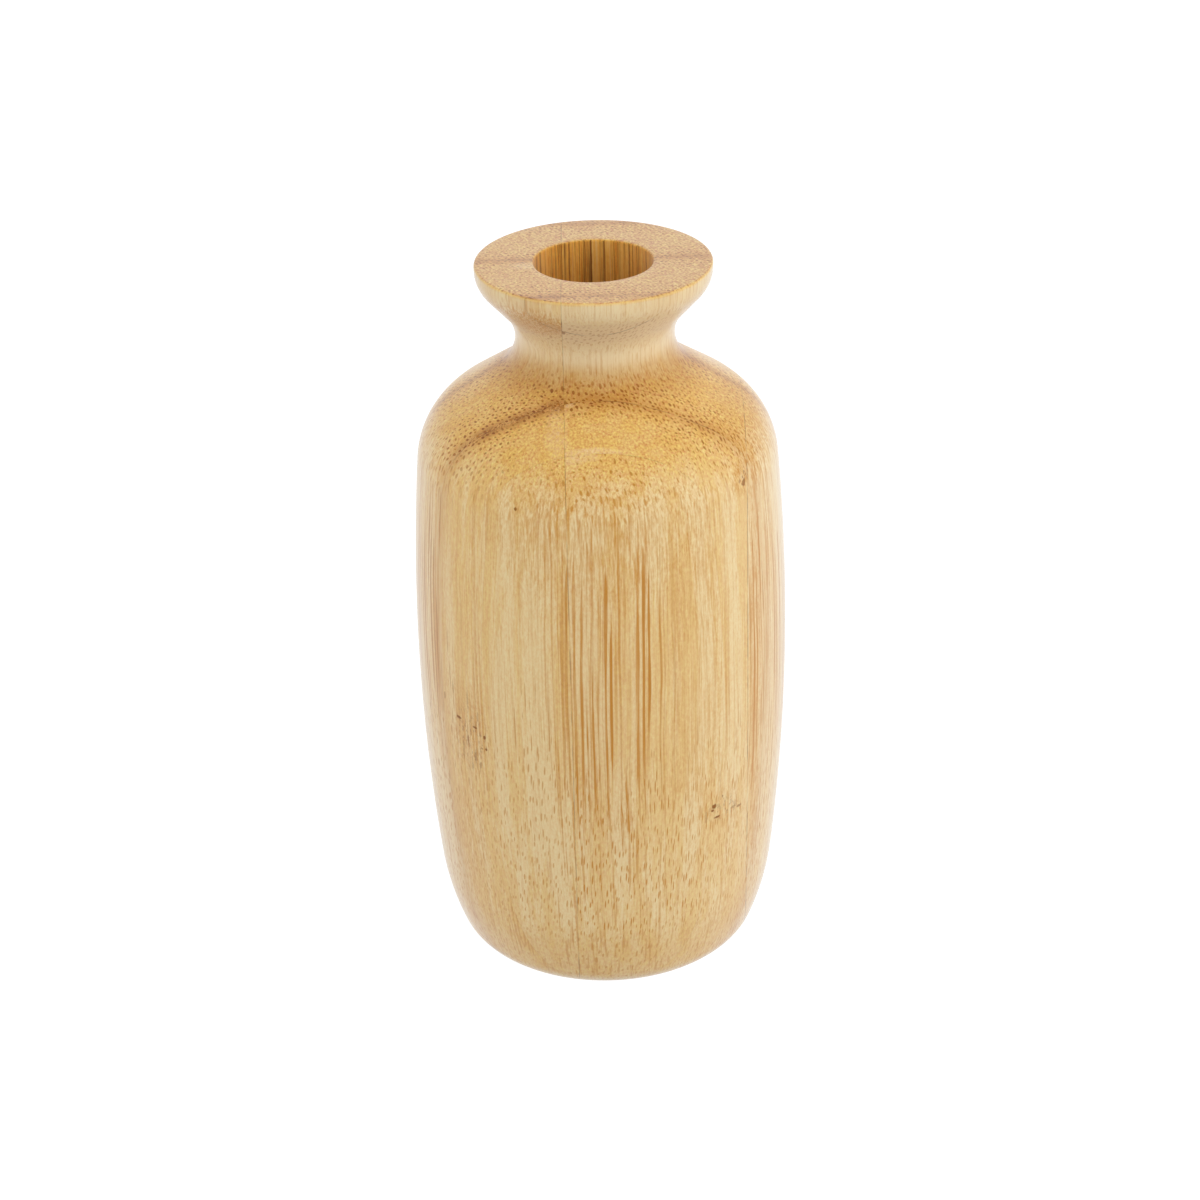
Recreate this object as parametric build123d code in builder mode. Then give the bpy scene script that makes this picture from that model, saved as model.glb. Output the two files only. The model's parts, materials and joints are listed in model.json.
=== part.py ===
"""Laminated bamboo bud vase, turned from a glued block of bamboo strips and drilled from the top.

Millimetres, +Z up, standing on Z = 0 with the vase's axis on the Z axis. The strips' wide glue
faces lie in planes of constant Y, and -Y is the front. Each strip of the block that is left after
turning is a piece of its own, glued face to face to its neighbours.
"""
import os
from math import atan2, ceil, cos, degrees, floor, hypot, radians, sin, sqrt, tan

from build123d import *

# Height and body
overall_height = 122.0
belly_radius = 30.8
belly_height = 57.0
side_curve_radius = 372.0
haunch_height = 16.0
base_radius = 23.7
foot_round = 6.6

# Rim, flare, neck and shoulder, from the top down
rim_radius = 19.0
rim_side_height = 2.9
lip_round = 5.0
flare_slope = 48.0
throat_radius = 12.8
neck_round = 6.3
shoulder_slope = 33.0
shoulder_round = 14.2
edge_break = 0.4

# Drilled hole for the stems
bore_radius = 9.5
bore_depth = 98.0

# The glued block: its strips, and where two of its glue joints lie from the axis
strip_width = 28.6
strip_thickness = 8.2
width_joint_x = -5.1
thickness_joint_y = 0.7
block_overrun = 5.0

flare_angle, slope_angle = radians(flare_slope), radians(shoulder_slope)

# The neck is a round cove that the flare leaves above and the shoulder's straight slope below
lip_corner = (rim_radius, overall_height - rim_side_height)
cove_radius = throat_radius + neck_round
flare_height_at_cove = lip_corner[1] + (cove_radius - rim_radius) * tan(flare_angle)
throat_height = flare_height_at_cove - neck_round / cos(flare_angle)
flare_start = (cove_radius - neck_round * sin(flare_angle), throat_height + neck_round * cos(flare_angle))
slope_start = (cove_radius - neck_round * sin(slope_angle), throat_height - neck_round * cos(slope_angle))

# The side is one slow curve, widest at the belly
side_centre = (belly_radius - side_curve_radius, belly_height)


def side_angle(radius, height):
    """Direction of a point of the side from the centre of its curve."""
    return degrees(atan2(height - side_centre[1], radius - side_centre[0]))


def side_angle_at(height):
    """Direction of the side's point at a height."""
    reach_in = sqrt(side_curve_radius**2 - (height - belly_height) ** 2)
    return side_angle(side_centre[0] + reach_in, height)


haunch_angle = side_angle_at(haunch_height)

# Half section of the turned vase, before it is drilled
with BuildSketch(Plane.XZ) as half_section:
    with BuildLine():
        long_side = CenterArc(
            side_centre,
            side_curve_radius,
            haunch_angle,
            side_angle_at(throat_height) - haunch_angle,
            mode=Mode.PRIVATE,
        )
        slope = IntersectingLine(slope_start, (cos(slope_angle), -sin(slope_angle)), long_side)
        shoulder_corner = ((slope @ 1).X, (slope @ 1).Y)
        side = CenterArc(side_centre, side_curve_radius, haunch_angle, side_angle(*shoulder_corner) - haunch_angle)
        TangentArc(side @ 0, (base_radius, 0), tangent=(side % 0) * -1)
        Line((base_radius, 0), (0, 0))
        ThreePointArc(slope_start, (throat_radius, throat_height), flare_start)
        Polyline(
            flare_start,
            lip_corner,
            (rim_radius, overall_height),
            (0, overall_height),
            (0, 0),
        )
    make_face()
    rounded_corners = [
        ((base_radius, 0), foot_round),
        (shoulder_corner, shoulder_round),
        (lip_corner, lip_round),
    ]
    for corner, radius in rounded_corners:
        fillet(half_section.vertices().sort_by_distance(corner)[0], radius)

with BuildPart() as turned_form:
    revolve(half_section.sketch, axis=Axis.Z)
    with Locations((0, 0, overall_height)):
        Hole(bore_radius, depth=bore_depth)
    rim_top = turned_form.faces().sort_by(Axis.Z)[-1]
    chamfer(rim_top.edges(), edge_break)


def spans(joint, step):
    """Numbers and limits of the strips that reach into the belly, from one joint and their pitch."""
    first = floor((-belly_radius - joint) / step)
    last = ceil((belly_radius - joint) / step)
    return [(index, joint + index * step, joint + (index + 1) * step) for index in range(first, last)]


def nearest(low, high):
    """Least distance from the axis of a span that may hold it."""
    return max(low, -high, 0)


def column_name(index):
    """Name of a row of strips, seen from the front, counted from the joint left of the axis."""
    if index == 0:
        return "middle"
    side_word = "left" if index < 0 else "right"
    return side_word if abs(index) == 1 else f"{side_word}_{abs(index)}"


def layer_name(index):
    """Name of a layer of strips, counted from the joint next to the axis to the front or the back."""
    return f"front_strip_{-index}" if index < 0 else f"back_strip_{index + 1}"


def cut_strip(name, x_span, y_span, z_span):
    """One strip of the block as the lathe and the drill leave it, written under its name."""
    (x_low, x_high), (y_low, y_high), (z_low, z_high) = x_span, y_span, z_span
    with BuildPart() as strip:
        with BuildSketch(Plane.XY.offset(z_low)):
            with Locations(((x_low + x_high) / 2, (y_low + y_high) / 2)):
                Rectangle(x_high - x_low, y_high - y_low)
        extrude(amount=z_high - z_low)
        add(turned_form.part, mode=Mode.INTERSECT)
    strip.part.label = name
    export_step(strip.part, f"parts/{name}.step")


os.makedirs("parts", exist_ok=True)
block_bottom, block_top = -block_overrun, overall_height + block_overrun
for column, x_low, x_high in spans(width_joint_x, strip_width):
    for layer, y_low, y_high in spans(thickness_joint_y, strip_thickness):
        name = f"{column_name(column)}_{layer_name(layer)}"
        x_span, y_span = (x_low, x_high), (y_low, y_high)
        reach = hypot(nearest(*x_span), nearest(*y_span))
        if reach < throat_radius:
            cut_strip(name, x_span, y_span, (block_bottom, block_top))
        elif reach < belly_radius:
            cut_strip(name, x_span, y_span, (block_bottom, throat_height))
        if throat_radius <= reach < rim_radius:
            cut_strip(f"rim_{name}", x_span, y_span, (throat_height, block_top))
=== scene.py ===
"""Dresses the laminated bamboo bud vase: finely turned strips, bamboo grain, studio and camera."""
import json
import logging
from dataclasses import dataclass, field, replace
from enum import Enum
from math import asin, atan2, ceil, cos, hypot, pi, radians, sin, sqrt, tan
from typing import Any

import bpy
from mathutils import Matrix, Vector


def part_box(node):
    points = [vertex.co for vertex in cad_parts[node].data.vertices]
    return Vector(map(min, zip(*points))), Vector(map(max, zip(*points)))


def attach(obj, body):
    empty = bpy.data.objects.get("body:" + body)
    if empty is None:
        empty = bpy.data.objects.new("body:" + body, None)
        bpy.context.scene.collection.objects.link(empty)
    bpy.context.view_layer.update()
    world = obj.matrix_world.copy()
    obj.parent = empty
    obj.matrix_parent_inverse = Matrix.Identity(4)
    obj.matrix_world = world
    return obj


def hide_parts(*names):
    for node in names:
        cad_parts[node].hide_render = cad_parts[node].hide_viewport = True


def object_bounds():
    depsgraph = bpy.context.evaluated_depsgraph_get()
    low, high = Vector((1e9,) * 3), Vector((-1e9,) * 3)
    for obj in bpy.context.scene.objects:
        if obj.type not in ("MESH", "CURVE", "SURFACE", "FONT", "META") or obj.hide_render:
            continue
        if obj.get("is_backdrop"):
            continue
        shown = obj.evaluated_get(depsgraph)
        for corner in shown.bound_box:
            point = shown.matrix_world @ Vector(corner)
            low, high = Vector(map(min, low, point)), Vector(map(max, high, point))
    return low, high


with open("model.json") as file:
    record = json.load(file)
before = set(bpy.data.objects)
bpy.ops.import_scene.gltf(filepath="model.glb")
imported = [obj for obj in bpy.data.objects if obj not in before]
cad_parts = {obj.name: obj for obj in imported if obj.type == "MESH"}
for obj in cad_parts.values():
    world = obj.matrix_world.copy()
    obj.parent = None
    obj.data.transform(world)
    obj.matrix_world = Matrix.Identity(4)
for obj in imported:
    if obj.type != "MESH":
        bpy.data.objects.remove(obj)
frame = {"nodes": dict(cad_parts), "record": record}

MM = 0.001
ROOT_BODY = "root"
Point = tuple[float, float]
Colour = tuple[float, float, float]

log = logging.getLogger("bamboo_vase")


def srgb(red: int, green: int, blue: int) -> Colour:
    """Turns a colour as a screen shows it into the linear light that shaders use.

    Args:
        red: Red, 0 to 255.
        green: Green, 0 to 255.
        blue: Blue, 0 to 255.

    Returns:
        The linear colour.
    """
    def linear(level: int) -> float:
        """One channel made linear."""
        share = level / 255
        return share / 12.92 if share <= 0.04045 else ((share + 0.055) / 1.055) ** 2.4
    return linear(red), linear(green), linear(blue)


def arc_points(centre: Point, radius: float, start: float, end: float, step: float) -> list[Point]:
    """Points along an arc, both ends included.

    Args:
        centre: Centre of the arc.
        radius: Its radius.
        start: Angle of the first point, in radians.
        end: Angle of the last point.
        step: Longest distance between points.

    Returns:
        The points as radius and height.
    """
    count = max(2, ceil(abs(end - start) * radius / step))
    angles = [start + (end - start) * i / count for i in range(count + 1)]
    return [(centre[0] + radius * cos(a), centre[1] + radius * sin(a)) for a in angles]


def straight_points(start: Point, end: Point, step: float) -> list[Point]:
    """Points along a straight stretch, without its first one.

    Args:
        start: Where the stretch starts.
        end: Where it ends.
        step: Longest distance between points.

    Returns:
        The points as radius and height.
    """
    count = max(1, ceil(hypot(end[0] - start[0], end[1] - start[1]) / step))
    return [
        (start[0] + (end[0] - start[0]) * i / count, start[1] + (end[1] - start[1]) * i / count)
        for i in range(1, count + 1)
    ]


@dataclass(frozen=True)
class TurnedOutline:
    """Half section of the turned and drilled vase, in metres."""

    height: float
    belly_radius: float
    bore_radius: float
    bore_depth: float
    belly_height: float = 57.0 * MM
    side_curve: float = 372.0 * MM
    haunch_height: float = 16.0 * MM
    base_radius: float = 23.7 * MM
    foot_round: float = 6.6 * MM
    rim_radius: float = 19.0 * MM
    rim_side: float = 2.9 * MM
    lip_round: float = 5.0 * MM
    flare: float = radians(48)
    throat_radius: float = 12.8 * MM
    neck_round: float = 6.3 * MM
    slope: float = radians(33)
    shoulder_round: float = 14.2 * MM
    edge_round: float = 0.4 * MM
    fine_step: float = 0.45 * MM
    long_step: float = 1.6 * MM
    bore_step: float = 4.0 * MM

    @property
    def side_centre(self) -> Point:
        """Centre of the side's slow curve, far beyond the axis."""
        return self.belly_radius - self.side_curve, self.belly_height

    @property
    def haunch_turn(self) -> float:
        """Angle at which the side's slow curve starts, above the haunch."""
        return asin((self.haunch_height - self.belly_height) / self.side_curve)

    @property
    def cove_centre(self) -> Point:
        """Centre of the neck's round cove, outside the wood.

        Returns:
            Its radius and height.
        """
        radius = self.throat_radius + self.neck_round
        flare_there = self.height - self.rim_side + (radius - self.rim_radius) * tan(self.flare)
        return radius, flare_there - self.neck_round / cos(self.flare)

    def foot(self) -> list[Point]:
        """The flat foot, its round edge and the haunch.

        Returns:
            The points from the axis up to where the side's slow curve starts.
        """
        centre, turn = self.side_centre, self.haunch_turn
        start = (centre[0] + self.side_curve * cos(turn), self.haunch_height)
        away = (start[0] - self.base_radius, start[1])
        haunch_round = (away[0] ** 2 + away[1] ** 2) / (2 * (away[0] * cos(turn) + away[1] * sin(turn)))
        haunch = (start[0] - haunch_round * cos(turn), start[1] - haunch_round * sin(turn))
        drop = self.foot_round - haunch[1]
        foot = (haunch[0] + sqrt((haunch_round - self.foot_round) ** 2 - drop**2), self.foot_round)
        meeting = atan2(drop, foot[0] - haunch[0])
        points = [(0.0, 0.0)] + straight_points((0.0, 0.0), (foot[0], 0.0), self.long_step)[:-1]
        points += arc_points(foot, self.foot_round, -pi / 2, meeting, self.fine_step)[:-1]
        return points + arc_points(haunch, haunch_round, meeting, turn, self.long_step / 2)[:-1]

    def side_and_shoulder(self) -> list[Point]:
        """The side's slow curve, the round shoulder and the start of the slope.

        Returns:
            The points from the haunch to the neck's cove.
        """
        centre, turn = self.side_centre, self.haunch_turn
        cove = self.cove_centre
        down = (cos(self.slope), -sin(self.slope))
        inward = (-sin(self.slope), -cos(self.slope))
        top = (cove[0] + self.neck_round * inward[0], cove[1] + self.neck_round * inward[1])
        gap = (top[0] + self.shoulder_round * inward[0] - centre[0],
               top[1] + self.shoulder_round * inward[1] - centre[1])
        along = gap[0] * down[0] + gap[1] * down[1]
        rest = gap[0] ** 2 + gap[1] ** 2 - (self.side_curve - self.shoulder_round) ** 2
        reach = sqrt(along**2 - rest) - along
        shoulder = (centre[0] + gap[0] + reach * down[0], centre[1] + gap[1] + reach * down[1])
        meeting = atan2(shoulder[1] - centre[1], shoulder[0] - centre[0])
        points = arc_points(centre, self.side_curve, turn, meeting, self.long_step)[:-1]
        points += arc_points(shoulder, self.shoulder_round, meeting, pi / 2 - self.slope, self.fine_step)
        return points + straight_points(points[-1], top, self.long_step)[:-1]

    def neck_and_rim(self) -> list[Point]:
        """The cove of the neck, the flare, the lip and the eased edges of the flat rim.

        Returns:
            The points from the cove to the mouth of the bore.
        """
        cove = self.cove_centre
        start, end = 3 * pi / 2 - self.slope, pi / 2 + self.flare
        points = arc_points(cove, self.neck_round, start, end, self.fine_step)
        lip_radius = self.rim_radius - self.lip_round
        corner = self.height - self.rim_side
        lip_height = corner - self.lip_round * tan(self.flare) + self.lip_round / cos(self.flare)
        lip = arc_points((lip_radius, lip_height), self.lip_round, self.flare - pi / 2, 0, self.fine_step)
        points += straight_points(points[-1], lip[0], self.long_step)[:-1] + lip
        eased = self.height - self.edge_round
        outer = (self.rim_radius - self.edge_round, eased)
        points += arc_points(outer, self.edge_round, 0, pi / 2, self.edge_round / 4)
        mouth = (self.bore_radius + self.edge_round, eased)
        inner = arc_points(mouth, self.edge_round, pi / 2, pi, self.edge_round / 4)
        return points + straight_points(points[-1], inner[0], self.long_step)[:-1] + inner

    def bore(self) -> list[Point]:
        """The drilled wall and its flat floor.

        Returns:
            The points from the mouth down and in to the axis.
        """
        floor_height = self.height - self.bore_depth
        start = (self.bore_radius, self.height - self.edge_round)
        corner = (self.bore_radius, floor_height)
        wall = straight_points(start, corner, self.bore_step)
        return wall + straight_points(corner, (0.0, floor_height), self.long_step)

    def points(self) -> list[Point]:
        """The whole outline, from the foot's centre round to the bore's floor."""
        return self.foot() + self.side_and_shoulder() + self.neck_and_rim() + self.bore()


class Signal:
    """One value in a node tree, with arithmetic written as Python expressions."""

    def __init__(self, board: "NodeBoard", socket: Any) -> None:
        """Wraps a socket.

        Args:
            board: The tree's board, which adds nodes.
            socket: The output socket that carries the value.
        """
        self.board, self.socket = board, socket

    def __add__(self, other: "Signal | float") -> "Signal":
        """Sum."""
        return self.board.math("ADD", self, other)

    def __sub__(self, other: "Signal | float") -> "Signal":
        """Difference."""
        return self.board.math("SUBTRACT", self, other)

    def __mul__(self, other: "Signal | float") -> "Signal":
        """Product."""
        return self.board.math("MULTIPLY", self, other)

    def __truediv__(self, other: "Signal | float") -> "Signal":
        """Quotient."""
        return self.board.math("DIVIDE", self, other)

    def __rsub__(self, other: float) -> "Signal":
        """Difference from a number."""
        return self.board.math("SUBTRACT", other, self)

    def __pow__(self, power: float) -> "Signal":
        """Power."""
        return self.board.math("POWER", self, power)

    __radd__ = __add__
    __rmul__ = __mul__

    def size(self) -> "Signal":
        """Value without its sign."""
        return self.board.math("ABSOLUTE", self)

    def at_most(self, other: "Signal | float") -> "Signal":
        """The smaller of two values."""
        return self.board.math("MINIMUM", self, other)

    def at_least(self, other: "Signal | float") -> "Signal":
        """The larger of two values."""
        return self.board.math("MAXIMUM", self, other)

    def fade(self, low: "Signal | float", high: "Signal | float") -> "Signal":
        """Smooth step from 0 at low to 1 at high; low may lie above high.

        Args:
            low: Value that gives 0.
            high: Value that gives 1.

        Returns:
            The share between 0 and 1.
        """
        sockets = {"Value": self, "From Min": low, "From Max": high}
        return self.board.add("ShaderNodeMapRange", {"interpolation_type": "SMOOTHSTEP"}, sockets, "Result")


class NodeBoard:
    """A node tree, with one method that adds any node."""

    def __init__(self, tree: bpy.types.NodeTree) -> None:
        """Takes the tree that the nodes go to."""
        self.tree = tree

    def add(self, kind: str, settings: dict[str, Any], sockets: dict[Any, Any], output: Any = 0) -> Signal:
        """Adds one node.

        Args:
            kind: The node's type.
            settings: Properties, set before any socket.
            sockets: Values or signals for its inputs, by name or number.
            output: Name or number of the output that is wanted.

        Returns:
            The output as a signal.
        """
        node = self.tree.nodes.new(kind)
        for key, value in settings.items():
            setattr(node, key, value)
        for key, value in sockets.items():
            self.feed(node.inputs[key], value)
        return Signal(self, node.outputs[output])

    def feed(self, socket: Any, value: Any) -> None:
        """Links a signal to a socket, or sets a plain value on it.

        Args:
            socket: The input socket.
            value: A signal, a number, a vector or a colour.
        """
        if isinstance(value, Signal):
            self.tree.links.new(value.socket, socket)
        elif socket.type == "RGBA" and len(value) == 3:
            socket.default_value = (*value, 1.0)
        else:
            socket.default_value = value

    def math(self, operation: str, first: Signal | float, second: Signal | float = 0.0) -> Signal:
        """One sum on two numbers."""
        return self.add("ShaderNodeMath", {"operation": operation}, {0: first, 1: second})

    def vector(self, x: Any, y: Any, z: Any) -> Signal:
        """A vector of three numbers."""
        return self.add("ShaderNodeCombineXYZ", {}, {0: x, 1: y, 2: z})

    def parts(self, vector: Signal) -> list[Signal]:
        """The three numbers of a vector."""
        return [self.add("ShaderNodeSeparateXYZ", {}, {0: vector}, axis) for axis in range(3)]


class TurnedStripTree(NodeBoard):
    """Geometry Nodes that turn the outline round the axis and cut one strip of the block out of it."""

    soft_bend = radians(28)
    merge_distance = 0.002 * MM

    def __init__(self, rows: int) -> None:
        """Builds the tree.

        Args:
            rows: How many points the outline has.
        """
        super().__init__(bpy.data.node_groups.new("turned_strip", "GeometryNodeTree"))
        kinds = {"Geometry": "Geometry", "Turn Steps": "Int", "Strip Centre": "Vector",
                 "Strip Size": "Vector", "Finish": "Material"}
        for name, kind in kinds.items():
            self.tree.interface.new_socket(name, in_out="INPUT", socket_type=f"NodeSocket{kind}")
        self.tree.interface.new_socket("Geometry", in_out="OUTPUT", socket_type="NodeSocketGeometry")
        source = self.tree.nodes.new("NodeGroupInput")
        outline, turns, centre, size, finish = (Signal(self, source.outputs[name]) for name in kinds)
        skin = self._turned_skin(rows, outline, turns)
        block = self.add("GeometryNodeMeshCube", {}, {"Size": size}, "Mesh")
        placed = self.add("GeometryNodeTransform", {}, {"Geometry": block, "Translation": centre})
        settings = {"operation": "INTERSECT", "solver": "MANIFOLD"}
        cut = self.add("GeometryNodeMeshBoolean", settings, {"Mesh 2": skin}, "Mesh")
        self.feed(cut.socket.node.inputs["Mesh 2"], placed)
        self._finish(self._merged(cut), finish)

    def _turned_skin(self, rows: int, outline: Signal, turns: Signal) -> Signal:
        """Lays a grid over the outline and wraps it round the axis.

        Args:
            rows: How many points the outline has.
            outline: The outline.
            turns: How many steps make the whole turn.

        Returns:
            The closed turned form.
        """
        sides = {"Size X": 1.0, "Size Y": 1.0, "Vertices X": rows, "Vertices Y": turns + 1}
        grid = self.add("GeometryNodeMeshGrid", {}, sides, "Mesh")
        place = self.add("GeometryNodeInputPosition", {}, {})
        across, along, _ = self.parts(place)
        row = self.math("ROUND", (across + 0.5) * (rows - 1))
        angle = (along + 0.5) * (2 * pi)
        settings = {"data_type": "FLOAT_VECTOR", "domain": "POINT"}
        sockets = {"Geometry": outline, "Index": row}
        sample = self.add("GeometryNodeSampleIndex", settings, sockets).socket.node
        self.feed(next(s for s in sample.inputs if s.name == "Value" and s.enabled), place)
        radius, _, height = self.parts(Signal(self, next(s for s in sample.outputs if s.enabled)))
        turned = self.vector(radius * self.math("COSINE", angle), radius * self.math("SINE", angle), height)
        wrapped = self.add("GeometryNodeSetPosition", {}, {"Geometry": grid, "Position": turned})
        return self._merged(self.add("GeometryNodeFlipFaces", {}, {"Mesh": wrapped}))

    def _merged(self, mesh: Signal) -> Signal:
        """Joins points that coincide, which closes the seam and drops faces of no area."""
        sockets = {"Geometry": mesh, "Distance": self.merge_distance}
        return self.add("GeometryNodeMergeByDistance", {}, sockets)

    def _finish(self, strip: Signal, finish: Signal) -> None:
        """Keeps the cut edges sharp and the turned skin smooth, and sets the finish.

        Args:
            strip: The cut strip.
            finish: The material.
        """
        bend = self.add("GeometryNodeInputMeshEdgeAngle", {}, {}, "Unsigned Angle")
        soft = self.math("LESS_THAN", bend, self.soft_bend)
        for domain, smooth in (("FACE", True), ("EDGE", soft)):
            sockets = {"Geometry": strip, "Shade Smooth": smooth}
            strip = self.add("GeometryNodeSetShadeSmooth", {"domain": domain}, sockets)
        real = self.add("GeometryNodeRealizeInstances", {}, {"Geometry": strip})
        dressed = self.add("GeometryNodeSetMaterial", {}, {"Geometry": real, "Material": finish})
        self.feed(self.tree.nodes.new("NodeGroupOutput").inputs[0], dressed)

    def modifier_key(self, name: str) -> str:
        """The identifier by which a modifier sets a named input.

        Args:
            name: The input's name.

        Returns:
            The identifier of its socket.
        """
        items = self.tree.interface.items_tree
        return next(i.identifier for i in items if i.name == name and i.in_out == "INPUT")


class PaintBoard(NodeBoard):
    """A material's node tree around a Principled shader."""

    mix_first, mix_second, mix_result = 6, 7, 2

    def __init__(self, name: str) -> None:
        """Starts a material with a bare Principled shader.

        Args:
            name: Name of the material.
        """
        self.material = bpy.data.materials.new(name)
        self.material.use_nodes = True
        super().__init__(self.material.node_tree)
        self.tree.nodes.clear()
        self.shader = self.tree.nodes.new("ShaderNodeBsdfPrincipled")
        self.kept: dict[str, tuple[str, str]] = {}
        output = self.tree.nodes.new("ShaderNodeOutputMaterial")
        self.tree.links.new(self.shader.outputs[0], output.inputs["Surface"])

    def copied(self, name: str) -> "PaintBoard":
        """Copies the whole board.

        Args:
            name: Name of the copy's material.

        Returns:
            The copy, which knows the same dials and kept signals.
        """
        twin = PaintBoard.__new__(PaintBoard)
        twin.material = self.material.copy()
        twin.material.name = name
        twin.tree = twin.material.node_tree
        twin.shader = twin.tree.nodes[self.shader.name]
        twin.kept = dict(self.kept)
        return twin

    def feed_shader(self, values: dict[str, Any]) -> None:
        """Feeds the shader's sockets, by name."""
        for name, value in values.items():
            self.feed(self.shader.inputs[name], value)

    def dial(self, name: str) -> Signal:
        """Adds a number that each copy of the board may set anew."""
        return self.keep(name, self.add("ShaderNodeValue", {"label": name}, {}))

    def turn(self, name: str, value: float) -> None:
        """Sets a dial."""
        self.recall(name).socket.default_value = value

    def keep(self, name: str, signal: Signal) -> Signal:
        """Remembers a signal by name, also for copies of the board."""
        self.kept[name] = (signal.socket.node.name, signal.socket.identifier)
        return signal

    def recall(self, name: str) -> Signal:
        """Finds a remembered signal on this board."""
        node, identifier = self.kept[name]
        return Signal(self, next(s for s in self.tree.nodes[node].outputs if s.identifier == identifier))

    def mix(self, share: Signal | float, first: Any, second: Any, blend: str = "MIX") -> Signal:
        """Mixes two colours.

        Args:
            share: How much of the second colour shows.
            first: The first colour.
            second: The second colour.
            blend: How they are blended.

        Returns:
            The mixed colour.
        """
        settings = {"data_type": "RGBA", "blend_type": blend, "clamp_factor": True}
        sockets = {0: share, self.mix_first: first, self.mix_second: second}
        return self.add("ShaderNodeMix", settings, sockets, self.mix_result)

    def layered(self, colour: Signal, *layers: tuple[Signal, Any]) -> Signal:
        """Lays colours over one another.

        Args:
            colour: What lies underneath.
            layers: Each layer's mask and colour, the lowest first.

        Returns:
            The colour on top.
        """
        for mask, tint in layers:
            colour = self.mix(mask, colour, tint)
        return colour

    def vector_math(self, operation: str, first: Any, second: Any, output: Any = 0) -> Signal:
        """One sum on two vectors."""
        return self.add("ShaderNodeVectorMath", {"operation": operation}, {0: first, 1: second}, output)

    def noise(self, place: Signal, detail: float = 2.0, roughness: float = 0.5, scale: float = 1.0) -> Signal:
        """Soft noise around 0.5.

        Args:
            place: Where it is read.
            detail: How many finer layers it has.
            roughness: How strong those are.
            scale: How fine it is.

        Returns:
            The noise.
        """
        sockets = {"Vector": place, "Scale": scale, "Detail": detail, "Roughness": roughness}
        return self.add("ShaderNodeTexNoise", {"noise_dimensions": "3D"}, sockets, "Fac")


class CulmSide(Enum):
    """Which way a strip's outer, dense face lies in the block."""

    FRONT = -1
    BACK = 1


class MarkPlane(Enum):
    """The two directions that a mark's place and size are given in."""

    SIDE = "x and z"
    TOP = "x and y"


class MarkTone(Enum):
    """What a mark is made of."""

    SCAR = "dark"
    STAIN = "honey"
    TORN = "ragged"
    DUST = "white"


@dataclass(frozen=True)
class Mark:
    """A scar, stain or smear of dust, as a place and a size in millimetres."""

    x: float
    level: float
    width: float
    height: float
    strength: float = 1.0
    tone: MarkTone = MarkTone.SCAR
    plane: MarkPlane = MarkPlane.SIDE


@dataclass(frozen=True)
class StripGrain:
    """How one strip's grain differs from the others; places and reaches are in millimetres along x."""

    seed: float
    dense_side: CulmSide
    warmth: float = 0.5
    darkness: float = 0.5
    bundles: float = 1.0
    spacing: float = 1.0
    streaks: float = 1.0
    streak_centre: float = 0.0
    streak_reach: float = 60.0
    quiet_centre: float = 0.0
    quiet_reach: float = 0.01
    marks: tuple[Mark, ...] = ()


@dataclass(frozen=True)
class StripCell:
    """The span of the glued block that one strip fills, in metres."""

    node: str
    low: Vector
    high: Vector


CELL_DIALS = ("offset", "low x", "high x", "low y", "high y", "front joint", "back joint", "facing")
GRAIN_DIALS = ("warmth", "darkness", "bundles", "spacing", "streaks", "streak_centre", "streak_reach",
               "quiet_centre", "quiet_reach")


@dataclass(frozen=True)
class ZoneLimits:
    """Where each zone of the vase starts and is full: heights, and radii for the bore, in millimetres."""

    neck: Point = (107.0, 110.0)
    lip: Point = (117.8, 119.0)
    neck_end: Point = (121.75, 121.35)
    # hollow: where painted shade darkens the cove under the flare
    hollow: Point = (102.0, 106.2)
    hollow_end: Point = (111.0, 107.0)
    shoulder: Point = (97.5, 100.5)
    low: Point = (52.0, 26.0)
    foot: Point = (18.0, 7.0)
    dashed: Point = (50.0, 36.0)
    dashed_end: Point = (9.0, 15.0)
    belly: Point = (32.0, 48.0)
    belly_end: Point = (95.0, 85.0)
    # edge: where a painted highlight lightens the eased edges of the rim and the mouth
    edge: Point = (121.5, 121.7)
    edge_end: Point = (121.99, 121.85)
    flat: Point = (121.85, 121.97)
    bored: Point = (9.7, 9.55)
    bored_end: Point = (8.0, 16.0)
    left_rise: Point = (-3.0, -9.0)


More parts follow.
